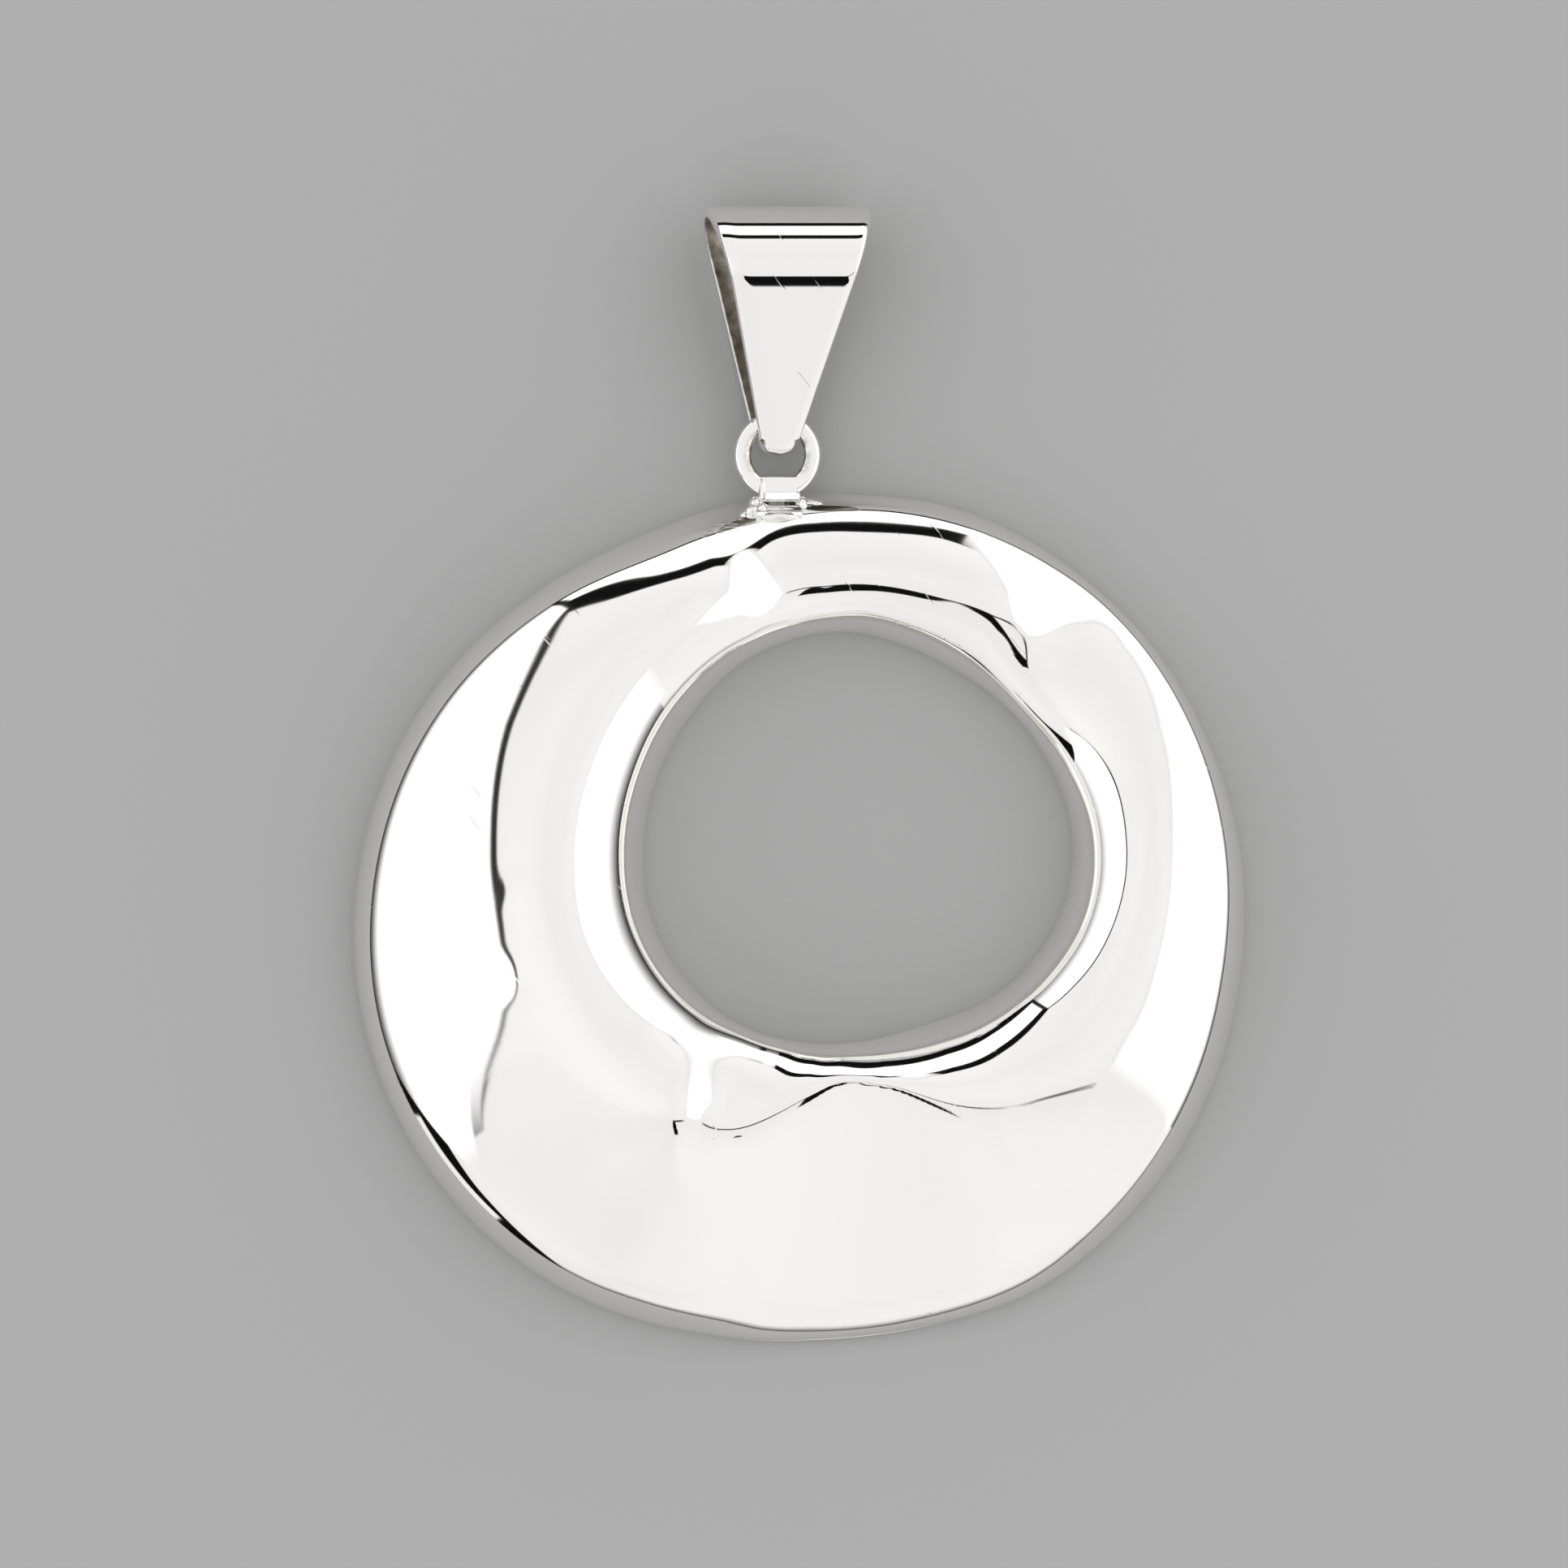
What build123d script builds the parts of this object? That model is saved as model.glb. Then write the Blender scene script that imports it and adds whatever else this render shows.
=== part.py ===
from build123d import *
from math import asin, atan, atan2, cos, degrees, hypot, pi, radians, sin
import os

# Open circle pendant of polished silver, lying on its flat back. Millimetres, +Z up, and the bail
# points along +Y. The body is worked out about its own centre, and the finished pendant is then
# moved so that the middle of its footprint is the origin.

# puffed body
BODY_D = 50.0            # across the open circle
BODY_H = 8.6             # thickness at the highest stretch of the crest
HOLE_D = 24.1            # across the hole
HOLE_EAST = 3.38         # centre of the hole from the centre of the body
HOLE_NORTH = 5.04
SHEET = 0.6              # thickness of the raised sheet and of the back
EDGE_R = 0.5             # rounding where the wall meets the back
RIM_TILT = 45.0          # tilt at which the tight rim turns into the face
SHOULDER_AT = 0.15       # share of the outer face that the shoulder takes
SHOULDER_TILT = 0.35     # share of the turn that is left at the shoulder's end
STRETCHES = 7            # lofted stretches that the ring is joined from
OVERRUN = 1              # rows that a stretch is lofted past its ends

# hanging ring and its post
RING_WIRE = 0.98
RING_BORE = 2.74
RING_EAST = -1.28        # ring centre from the centre of the body
RING_Z = 1.9             # height of the wire's centre
RING_STAND = 0.08        # ring's edge from the rim
POST_W = 2.24            # neck of the post
POST_T = 1.8
POST_FOOT_W = 4.3        # flared foot on the rim
POST_FOOT_L = 1.1        # how far the foot reaches in over the rim
POST_STEP = 0.45         # how far the post fills the ring's bore

# bail
BAIL_L = 13.9            # tip to top of the fold
BAIL_W = 9.2             # across the strip at the fold
BAIL_T = 0.55
FOLD_R = 3.3             # outside of the fold
TIP_W = 1.7              # across the rounded tip
TIP_EAST = -0.08         # tip from the ring's centre
TIP_DROP = 1.84          # tip's end from the middle of the wire that it hangs on
WIRE_CLEAR = 0.47        # room round the ring's wire inside the tip
LEAN = 1.6               # degrees that the strip leans to +X
SKEW = 0.16              # sideways run of the front leg for each mm of height

# Sections of the body, one for each row, all the way round. hole_at and rim_at are the directions in
# degrees of its inner end, seen from the hole's centre, and of its outer end, seen from the body's.
# hole and rim are radii, as shares of half of HOLE_D and BODY_D. crest and rim_up are heights, of the
# crest and of the rim's widest line, as shares of BODY_H. o45, outer, inner and i45 are places along
# the section from the rim, as shares of its length: where the rim turns into the face, where the
# outer face has tilt_o degrees left, where the inner face has come to tilt_i degrees, and where the
# face turns into the hole's wall.
SECTIONS = [
    # hole_at, rim_at, hole, rim, crest, rim_up, o45, outer, tilt_o, inner, tilt_i, i45
    (0, 11.5, 0.989, 1.006, 0.645, 0.275, 0.082, 0.399, 14.0, 0.673, 22.5, 0.865),
    (20, 28.1, 0.951, 1.012, 0.552, 0.285, 0.060, 0.289, 15.0, 0.684, 22.5, 0.900),
    (36, 40.7, 0.926, 1.017, 0.480, 0.235, 0.055, 0.228, 17.0, 0.790, 20.0, 0.930),
    (46, 48.4, 0.913, 1.015, 0.480, 0.215, 0.050, 0.266, 19.0, 0.740, 14.0, 0.918),
    (59, 58.3, 0.902, 1.014, 0.576, 0.255, 0.074, 0.253, 24.0, 0.600, 14.0, 0.881),
    (75, 70.5, 0.920, 1.007, 0.593, 0.220, 0.105, 0.207, 28.0, 0.642, 14.0, 0.865),
    (90, 82.1, 0.958, 0.985, 0.605, 0.225, 0.110, 0.238, 28.0, 0.667, 14.0, 0.869),
    (98, 88.5, 0.973, 0.979, 0.620, 0.180, 0.140, 0.249, 28.0, 0.688, 14.0, 0.890),
    (110, 98.3, 0.985, 0.968, 0.710, 0.210, 0.160, 0.265, 28.0, 0.680, 14.0, 0.900),
    (124, 110.4, 0.989, 0.954, 0.750, 0.220, 0.157, 0.269, 28.0, 0.640, 14.0, 0.885),
    (142, 127.4, 0.979, 0.961, 0.785, 0.270, 0.104, 0.257, 25.0, 0.671, 14.0, 0.880),
    (162, 148.3, 0.991, 0.986, 0.820, 0.210, 0.073, 0.367, 23.0, 0.728, 14.0, 0.905),
    (182, 170.7, 1.015, 1.003, 0.866, 0.130, 0.060, 0.464, 22.5, 0.756, 14.0, 0.917),
    (202, 194.2, 1.045, 1.007, 0.880, 0.125, 0.050, 0.501, 20.0, 0.769, 14.0, 0.927),
    (222, 218.6, 1.047, 0.994, 0.905, 0.125, 0.055, 0.587, 15.0, 0.802, 14.0, 0.940),
    (240, 241.0, 1.027, 0.966, 0.942, 0.195, 0.054, 0.640, 12.0, 0.875, 18.0, 0.958),
    (254, 258.5, 0.985, 0.935, 0.975, 0.220, 0.050, 0.720, 12.0, 0.905, 26.0, 0.952),
    (270, 278.2, 0.947, 0.930, 1.000, 0.145, 0.050, 0.810, 15.0, 0.880, 28.0, 0.935),
    (292, 303.9, 0.920, 0.974, 0.884, 0.120, 0.062, 0.653, 15.0, 0.836, 28.0, 0.907),
    (315, 328.9, 0.972, 0.989, 0.744, 0.185, 0.074, 0.480, 14.0, 0.789, 24.0, 0.904),
    (338, 351.8, 0.996, 0.995, 0.692, 0.210, 0.092, 0.452, 14.0, 0.715, 22.5, 0.866),
]


def polar(radius, angle):
    return Vector(radius * cos(radians(angle)), radius * sin(radians(angle)), 0)


def crown(row, inset=0.0):
    """The raised sheet from the rim's widest line to the hole's, as points (along, height). Tilt runs
    from 90 at the rim, through 0 on the crest, to -90 at the hole. Between two knots the sheet is one
    arc, and the points are the knots with the middles of the arcs between them. The heights are
    fitted between the row's rim and crest. An inset moves each point into the metal."""
    hole_at, rim_at, hole, rim, crest, rim_up, o45, outer, tilt_o, inner, tilt_i, i45 = row
    start = polar(rim * BODY_D / 2, rim_at)
    end = Vector(HOLE_EAST, HOLE_NORTH, 0) + polar(hole * HOLE_D / 2, hole_at)
    length = (end - start).length
    shoulder = o45 + SHOULDER_AT * (outer - o45)
    shoulder_tilt = tilt_o + SHOULDER_TILT * (RIM_TILT - tilt_o)
    places = [0, o45, shoulder, outer, inner, i45, 1]
    tilts = [90, RIM_TILT, shoulder_tilt, tilt_o, -tilt_i, -RIM_TILT, -90]
    points, s, z, top = [(0.0, 0.0, 90)], 0.0, 0.0, 0.0
    for k in range(6):
        a, b = radians(tilts[k]), radians(tilts[k + 1])
        radius = length * (places[k + 1] - places[k]) / (sin(a) - sin(b))
        if a > 0 >= b:
            top = z + radius * (1 - cos(a))
        for t in ((a + b) / 2, b):
            points.append((s + radius * (sin(a) - sin(t)), z + radius * (cos(t) - cos(a)), degrees(t)))
        s, z = points[-1][:2]
    steep = (crest - rim_up) * BODY_H / top
    points = [
        (s + inset * sin(radians(t)), rim_up * BODY_H + steep * z - inset * cos(radians(t)))
        for s, z, t in points
    ]
    return start, (end - start).normalized(), points


def section(row, inset=0.0):
    """One closed section of the body, or of the hollow in it when there is an inset."""
    start, way, points = crown(row, inset)
    points = [start + way * s + Vector(0, 0, z) for s, z in points]
    left, right = points[0], points[-1]

    def low(end, s, z):
        # a point s along the section from an end, at height z
        return Vector(end.X, end.Y, 0) + way * s + Vector(0, 0, z)

    edges = [Edge.make_three_point_arc(*points[k:k + 3]) for k in range(0, len(points) - 1, 2)]
    if inset:
        corners = [right, low(right, 0, inset), low(left, 0, inset), left]
        edges += [Edge.make_line(p, q) for p, q in zip(corners, corners[1:])]
    else:
        r = EDGE_R
        c = r * (1 - cos(radians(45)))
        edges += [
            Edge.make_line(right, low(right, 0, r)),
            Edge.make_three_point_arc(low(right, 0, r), low(right, -c, c), low(right, -r, 0)),
            Edge.make_line(low(right, -r, 0), low(left, r, 0)),
            Edge.make_three_point_arc(low(left, r, 0), low(left, c, c), low(left, 0, r)),
            Edge.make_line(low(left, 0, r), left),
        ]
    return Wire(edges)


def stretch(first, last, inset):
    """The band from one row to another. It is lofted through OVERRUN rows more at each end, so that
    the stretches run smoothly into each other, and cut off on the planes of its two end rows."""
    count = len(SECTIONS)
    rows = [SECTIONS[k % count] for k in range(first - OVERRUN, last + OVERRUN + 1)]
    band = Solid.make_loft([section(row, inset) for row in rows])
    corners = []
    for row in (rows[OVERRUN], rows[-OVERRUN - 1]):
        start, way, points = crown(row)
        corners.append((start - way * BODY_D, start + way * (points[-1][0] + HOLE_D / 8)))
    (far_a, near_a), (far_b, near_b) = corners
    beyond = (far_a + far_b) * 1.5
    wedge = make_face(Polyline(near_a, far_a, beyond, far_b, near_b, close=True))
    wedge = extrude(Pos(0, 0, -BODY_H) * wedge, amount=BODY_H * 3, dir=(0, 0, 1))
    return band.intersect(wedge)[0]


def ring_of_sections(inset=0.0):
    """The closed band through all sections, in stretches that meet on section planes."""
    count = len(SECTIONS)
    ends = [round(count * k / STRETCHES) for k in range(STRETCHES + 1)]
    parts = [stretch(a, b, inset) for a, b in zip(ends, ends[1:])]
    return parts[0].fuse(*parts[1:])


def rim_point(angle):
    """A point of the body's outline in a direction from its centre, between the table's rows."""
    rows = sorted((row[1], row[3]) for row in SECTIONS)
    for (a0, r0), (a1, r1) in zip(rows, rows[1:]):
        if a0 <= angle <= a1:
            share = r0 + (r1 - r0) * (angle - a0) / (a1 - a0)
            return polar(share * BODY_D / 2, angle)


def hanger():
    """The ring and its flared post, at the top of the rim."""
    angle = 90 - degrees(atan(RING_EAST / (BODY_D / 2)))
    rim_y = rim_point(angle).Y
    ring_r = (RING_BORE + RING_WIRE) / 2
    centre = Vector(RING_EAST, rim_y + RING_STAND + ring_r + RING_WIRE / 2, RING_Z)
    ring = Pos(centre) * Torus(ring_r, RING_WIRE / 2)
    top = centre.Y - RING_BORE / 2 + POST_STEP
    neck = rim_y + RING_STAND
    foot = rim_y - POST_FOOT_L
    w, f = POST_W / 2, POST_FOOT_W / 2
    x = RING_EAST
    waist = (w + 0.3 * (f - w), neck + 0.7 * (foot - neck) * 0.5)
    outline = [
        Line((x + w, neck), (x + w, top)),
        Line((x + w, top), (x - w, top)),
        Line((x - w, top), (x - w, neck)),
        ThreePointArc((x - w, neck), (x - waist[0], waist[1]), (x - f, foot)),
        Line((x - f, foot), (x + f, foot)),
        ThreePointArc((x + f, foot), (x + waist[0], waist[1]), (x + w, neck)),
    ]
    post = Pos(0, 0, RING_Z - POST_T / 2) * extrude(make_face(outline), POST_T)
    return ring, post, centre


def bail_solid(ring_centre):
    """The folded strip: its side profile run sideways, kept inside the tapered outline. The fold
    rests on the floor, and the tip hangs round the ring's wire."""
    wire_y = ring_centre.Y + (RING_BORE + RING_WIRE) / 2
    nose_in = RING_WIRE / 2 + WIRE_CLEAR
    nose_r = nose_in + BAIL_T
    nose = (wire_y - TIP_DROP + nose_r, RING_Z)
    fold = (wire_y - TIP_DROP + BAIL_L - FOLD_R, FOLD_R)
    rise = atan2(fold[1] - nose[1], fold[0] - nose[0])
    spread = asin((FOLD_R - nose_r) / hypot(fold[0] - nose[0], fold[1] - nose[1]))

    def off(centre, radius, angle):
        return (centre[0] + radius * cos(angle), centre[1] + radius * sin(angle))

    def side(r_nose, r_fold):
        # closed outline in the plane that stands along the strip, as (y, z)
        front, back = rise + spread + pi / 2, rise - spread - pi / 2
        a, b, c = (off(nose, r_nose, angle) for angle in (back, rise + pi, front))
        d, e, f = (off(fold, r_fold, angle) for angle in (front, rise, back))
        return make_face([ThreePointArc(a, b, c), Line(c, d), ThreePointArc(d, e, f), Line(f, a)])

    band = side(nose_r, FOLD_R) - side(nose_in, FOLD_R - BAIL_T)
    across = Plane(origin=(0, 0, 0), x_dir=(0, 1, 0), z_dir=(1, 0, 0))
    strip = extrude(across * band, BAIL_W * 2, both=True)
    tip_x = ring_centre.X + TIP_EAST
    tip_y = nose[0] - nose_r
    t, w = TIP_W / 2, BAIL_W / 2
    far = BAIL_L + FOLD_R
    wide = t + (w - t) * far / BAIL_L
    outline = make_face([
        Line((t, t), (wide, far)), Line((wide, far), (-wide, far)), Line((-wide, far), (-t, t)),
        ThreePointArc((-t, t), (0, 0), (t, t)),
    ])
    outline = Pos(tip_x - SKEW * (FOLD_R + RING_Z), tip_y, -FOLD_R) * Rot(0, 0, -LEAN) * outline
    column = extrude(outline, amount=FOLD_R * 5, dir=(SKEW, 0, 1))
    return strip & column


hollow = ring_of_sections(SHEET)
ring, post, ring_centre = hanger()
drop = ring_of_sections().fuse(ring.solid(), post.solid()).cut(hollow)
bail = bail_solid(ring_centre)
lows = [piece.bounding_box().min for piece in (drop, bail)]
highs = [piece.bounding_box().max for piece in (drop, bail)]
centred = Pos(
    -(min(p.X for p in lows) + max(p.X for p in highs)) / 2,
    -(min(p.Y for p in lows) + max(p.Y for p in highs)) / 2,
    -min(p.Z for p in lows),
)

os.makedirs("parts", exist_ok=True)
export_step(centred * drop, "parts/drop.step")
export_step(centred * bail, "parts/bail.step")
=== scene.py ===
"""Looks of a puffed open circle pendant of polished sterling silver, lying on its flat back.

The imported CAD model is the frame, in metres: +Y runs from the open circle to the bail, and +Z from
the flat back to the puffed face. The open circle, the soldered ring on its post and the folded bail
are made here again with finer skins, from the same sizes as the CAD part, and stand for its nodes.
"""

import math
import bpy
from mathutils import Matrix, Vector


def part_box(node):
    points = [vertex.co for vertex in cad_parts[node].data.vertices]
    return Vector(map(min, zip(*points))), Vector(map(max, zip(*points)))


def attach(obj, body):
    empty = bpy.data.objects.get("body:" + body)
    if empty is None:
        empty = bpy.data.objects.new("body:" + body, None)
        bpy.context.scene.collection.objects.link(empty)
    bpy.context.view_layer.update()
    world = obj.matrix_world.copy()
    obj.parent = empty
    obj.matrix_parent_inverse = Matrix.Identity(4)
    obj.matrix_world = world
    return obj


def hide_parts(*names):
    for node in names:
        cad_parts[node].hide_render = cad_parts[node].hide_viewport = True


bl_info = {
    "name": "Open circle pendant",
    "version": (1, 0, 0),
    "blender": (4, 5, 0),
    "location": "3D View > Sidebar > Pendant",
    "description": "Builds a puffed silver open circle pendant, its ring, its bail and a studio",
    "category": "Object",
}

import bmesh
import bpy
import numpy as np
from bpy.props import FloatProperty, IntProperty, PointerProperty, StringProperty
from mathutils import Matrix, Vector

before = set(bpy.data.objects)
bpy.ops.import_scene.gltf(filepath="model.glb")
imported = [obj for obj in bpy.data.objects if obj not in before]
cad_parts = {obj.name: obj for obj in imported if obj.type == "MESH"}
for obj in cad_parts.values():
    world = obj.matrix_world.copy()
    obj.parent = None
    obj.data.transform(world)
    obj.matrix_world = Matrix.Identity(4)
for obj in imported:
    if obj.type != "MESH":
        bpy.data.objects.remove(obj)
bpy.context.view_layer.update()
MM = 0.001
PHOTO_WIDTH = 88.14 * MM        # what the photograph shows across, at the pendant
PHOTO_MIDDLE = Vector((-0.83, -0.57, 4.0)) * MM
CAMERA_HEIGHT = 2.0             # metres over the pendant, so high that its sides hardly open out
SENSOR_WIDTH = 36.0             # mm, of a common camera

# Sections of the puffed circle, one for each row, all the way round. hole_at and rim_at are the
# directions in degrees of its inner end, seen from the hole's centre, and of its outer end, seen
# from the circle's centre. hole and rim are radii, as shares of half the hole's and half the circle's
# width. crest is a share of the height. o45, outer, inner and i45 are places along the section from
# the rim, as shares of its length: where the rim turns into the face, where the outer face has
# tilt_o degrees left, where the inner face has come to tilt_i degrees, and where it turns into the
# hole's wall.
SECTIONS = [
    # hole_at, rim_at, hole, rim, crest, o45, outer, tilt_o, inner, tilt_i, i45
    (0, 11.5, 0.989, 1.006, 0.655, 0.082, 0.399, 14.0, 0.673, 22.5, 0.865),
    (20, 28.1, 0.951, 1.012, 0.552, 0.060, 0.289, 15.0, 0.684, 22.5, 0.900),
    (36, 40.7, 0.926, 1.017, 0.480, 0.055, 0.228, 17.0, 0.790, 20.0, 0.930),
    (46, 48.4, 0.913, 1.015, 0.480, 0.050, 0.266, 19.0, 0.740, 14.0, 0.918),
    (59, 58.3, 0.902, 1.014, 0.576, 0.074, 0.253, 24.0, 0.600, 14.0, 0.881),
    (75, 70.5, 0.920, 1.007, 0.593, 0.105, 0.207, 28.0, 0.642, 14.0, 0.865),
    (90, 82.1, 0.958, 0.985, 0.602, 0.110, 0.238, 28.0, 0.667, 14.0, 0.869),
    (98, 88.5, 0.973, 0.979, 0.604, 0.140, 0.249, 28.0, 0.688, 14.0, 0.890),
    (107, 95.8, 0.982, 0.971, 0.618, 0.155, 0.261, 28.0, 0.682, 14.0, 0.897),
    (118, 105.2, 0.987, 0.960, 0.738, 0.158, 0.280, 28.0, 0.657, 14.0, 0.891),
    (124, 110.4, 0.989, 0.954, 0.787, 0.157, 0.285, 28.0, 0.640, 14.0, 0.885),
    (142, 127.4, 0.979, 0.961, 0.838, 0.104, 0.285, 25.0, 0.671, 14.0, 0.880),
    (162, 148.3, 0.991, 0.986, 0.864, 0.073, 0.385, 23.0, 0.728, 14.0, 0.905),
    (182, 170.7, 1.015, 1.003, 0.888, 0.060, 0.478, 22.5, 0.756, 14.0, 0.917),
    (202, 194.2, 1.045, 1.007, 0.922, 0.050, 0.545, 21.0, 0.769, 14.0, 0.927),
    (222, 218.6, 1.047, 0.994, 0.938, 0.055, 0.580, 16.0, 0.802, 14.0, 0.940),
    (240, 241.0, 1.027, 0.966, 0.932, 0.054, 0.560, 16.0, 0.875, 18.0, 0.964),
    (246, 248.6, 1.010, 0.953, 0.925, 0.052, 0.575, 18.0, 0.895, 23.0, 0.960),
    (252, 256.1, 0.992, 0.940, 0.918, 0.042, 0.660, 18.5, 0.900, 28.0, 0.955),
    (258, 263.6, 0.977, 0.934, 0.925, 0.026, 0.780, 19.0, 0.900, 28.0, 0.949),
    (264, 271.1, 0.962, 0.928, 0.945, 0.020, 0.862, 19.0, 0.892, 28.0, 0.943),
    (276, 285.5, 0.932, 0.937, 0.915, 0.022, 0.835, 19.0, 0.864, 28.0, 0.923),
    (292, 303.9, 0.920, 0.974, 0.832, 0.040, 0.635, 18.5, 0.836, 28.0, 0.907),
    (304, 316.9, 0.947, 0.982, 0.760, 0.058, 0.540, 17.5, 0.811, 25.9, 0.905),
    (315, 328.9, 0.972, 0.989, 0.716, 0.074, 0.460, 15.5, 0.789, 24.0, 0.904),
    (325, 338.9, 0.982, 0.992, 0.700, 0.082, 0.457, 14.8, 0.757, 23.3, 0.887),
    (338, 351.8, 0.996, 0.995, 0.692, 0.092, 0.452, 14.0, 0.715, 22.5, 0.866),
]

# Soft dents and swellings that the hammer left in the raised sheet. east and north are places from the
# circle's centre, and ahead, behind and side are reaches along and across the turn (degrees from +X),
# all as shares of half the circle's width. rise is a share of the height. round is 2 for a round top,
# and nearer 1 for a creased one.
DENTS = [
    # name, east, north, turn, ahead, behind, side, rise, round
    ("fold by the lower lip", -0.283, -0.430, 0, 0.141, 0.320, 0.230, 0.093, 1.4),
    ("swelling by its foot", -0.170, -0.462, 0, 0.120, 0.060, 0.080, 0.016, 2.0),
    ("mark by the west line", -0.611, -0.109, 0, 0.080, 0.080, 0.080, 0.005, 2.0),
    ("small mark above it", -0.620, 0.092, 0, 0.060, 0.060, 0.060, 0.003, 2.0),
    ("pit in the top", 0.050, 0.808, 0, 0.020, 0.020, 0.020, -0.002, 2.0),
]
RUBBED_SPOT = Vector((-4.6, 22.4, 3.5)) * MM    # from the circle's centre, left of the post on the rim
RUBBED_REACH = 1.9 * MM         # where the file strokes there have run out
RIM_TILT = 45.0                 # degrees, where the tight rim turns into the face
RIM_STEPS = 12                  # strips of the skin round each tight rim
FOOT_STEPS = 5                  # strips round each edge of the flat back
WALL_STEPS = 3                  # places up each upright wall, without its ends
FINE = 6                        # finer steps in each strip, to add up the slopes of the face
SHOULDER_AT = 0.15              # share of the outer face that the shoulder takes
SHOULDER_TILT = 0.35            # share of the turn that is left at the shoulder's end

# Soft boxes round the pendant. Each is bounded by planes through the pendant, and shines from the
# directions that lie on the front side of all of them: (x, y, z) of each plane's normal, and the
# softness of that edge where it isn't the usual one. fade is the height, as a share of the distance,
# at which a box has come to its full brightness. All of them start at HORIZON.
SOFT_BOXES = [
    # name, brightness, fade, planes
    ("overhead", 0.95, 0.1, [(1, 0, 1.0), (-1, 0, 0.53), (0, 1, 0.404), (0, -1, 1.28)]),
    ("north", 1.20, 0.02, [(0, 1, -1.732), (1.4, 1, 0), (-2.4, 1, 0), (0, -0.14, 1)]),
    ("east", 1.25, 0.3, [(1, 0, -0.50, 0.18), (0.80, 1, 0, 0.30), (2.9, -1, 0)]),
    ("west", 1.25, 0.3, [(-1, 0, -1.07), (-1.3, -1, 0), (-0.80, 1, 0, 0.40), (-0.306, 1, 0.562)]),
    ("low west", 1.25, 0.3, [(-1, -0.12, -1.062), (0, -1, 0.1), (0, 1, 0.50, 0.25)]),
    ("south", 0.92, 0.12, [(0, -1, -0.727), (-0.65, -1, 0), (0.55, -1, 0), (1.97, -1, 3.27)]),
    ("south east", 0.92, 0.1, [(0, -1, -0.440), (1, 0.75, 0.27), (-0.65, -1, 0), (0.55, -1, 0)]),
    ("south west", 0.92, 0.1, [(0, -1, -0.35), (-1.47, -1, -0.72), (0.55, -1, 0), (1.97, -1, 3.27)]),
    ("foot of the west box", 0.95, 0.02, [(-0.77, -0.64, -8.5), (0.45, -1, 0), (-1, 1, 0)]),
    ("west corner", 0.92, 0.1, [(0, -1, -0.37), (-1, 0, -0.12), (1, 0, 0.99)]),
    ("east corner", 0.94, 0.1, [(1, 0, -0.50), (-1, 0, 1.40), (0, -1, -0.30), (0, 1, 0.95)]),
]
HORIZON = -0.02

# The post, soldered on the ring and over the rim's shoulder, as places along it in mm: north of the
# ring's middle, half its width, its middle's east, and its top above the wire's middle.
POST = [
    (-1.22, 1.10, 0.00, 0.43),
    (-1.94, 1.12, 0.08, 0.45),
    (-1.99, 1.12, 0.12, 0.30),
    (-2.07, 1.12, 0.17, 0.50),
    (-2.55, 1.16, 0.20, 0.84),
    (-2.60, 1.18, 0.20, 1.10),
    (-2.88, 1.26, 0.15, 1.50),
    (-2.94, 1.28, 0.14, 1.76),
    (-3.14, 1.32, 0.10, 2.02),
    (-3.20, 1.34, 0.10, 2.18),
    (-3.48, 1.34, 0.10, 2.36),
]

# Beads of solder, in mm from the ring's middle, with their reach each way.
SOLDER_BEADS = [
    # name, east, north, up, reach east, reach north, reach up
    ("ridge on the post's left edge", -0.90, -2.25, 0.72, 0.17, 0.95, 0.34),
    ("left, by the post", -0.86, -3.06, 1.62, 0.36, 0.36, 0.40),
    ("left, outside", -1.42, -3.14, 1.62, 0.42, 0.30, 0.34),
    ("left fillet", -1.25, -2.75, 1.05, 0.42, 0.42, 0.50),
    ("right fillet", 1.42, -2.75, 1.15, 0.36, 0.42, 0.55),
    ("right, outside", 2.05, -2.74, 1.10, 0.42, 0.22, 0.34),
    ("over the rim", 0.10, -3.50, 2.20, 1.05, 0.24, 0.30),
]
POST_EDGE = 0.06 * MM           # bevel of the post's edges
FUSE_SIZE = 0.045 * MM          # voxels that melt the ring, the post and the solder together

# The folded strip: its skin's steps, its edges and the shape of its tip.
FOLD_STEPS, LEG_STEPS, TIP_STEPS, EASE_STEPS = 60, 30, 40, 16
STRIP_STEPS = 40                # places across each face of the strip
STRIP_CORNER = 0.14 * MM        # rounding of the strip's four long edges
TIP_CORNER_AT = -210.0          # degrees round the tip's bend, where its front upper corner stands out
TIP_CORNER_REACH = 38.0         # degrees to each side of it
TIP_ROUND = 3.2                 # the tip seen from above: 2 is a half circle, more is squarer

FLOOR_SIZE = 2.0                # metres from its middle to its edge
FLOOR_DROP = 0.02 * MM          # of the floor under the back, so that the two don't share a plane
TOUCHING = 0.25 * MM            # nearer than this, the floor is clear


class PENDANT_PG_circle(bpy.types.PropertyGroup):
    """Sizes of the puffed open circle"""

    width: FloatProperty(name="Width", description="Across the open circle", default=50.0 * MM, unit="LENGTH")
    height: FloatProperty(name="Height", description="Highest stretch of the crest", default=8.6 * MM, unit="LENGTH")
    hole_width: FloatProperty(name="Hole width", description="Across the hole", default=24.1 * MM, unit="LENGTH")
    hole_east: FloatProperty(name="Hole east", description="Hole's centre from the circle's, along X",
                             default=3.38 * MM, unit="LENGTH")
    hole_north: FloatProperty(name="Hole north", description="Hole's centre from the circle's, along Y",
                              default=5.04 * MM, unit="LENGTH")
    edge_radius: FloatProperty(name="Edge radius", description="Rounding where the wall meets the back",
                               default=0.5 * MM, unit="LENGTH")
    around: IntProperty(name="Around", description="Sections of the skin round the circle", default=600)
    across: IntProperty(name="Across", description="Strips of the skin over the face", default=64)


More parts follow.
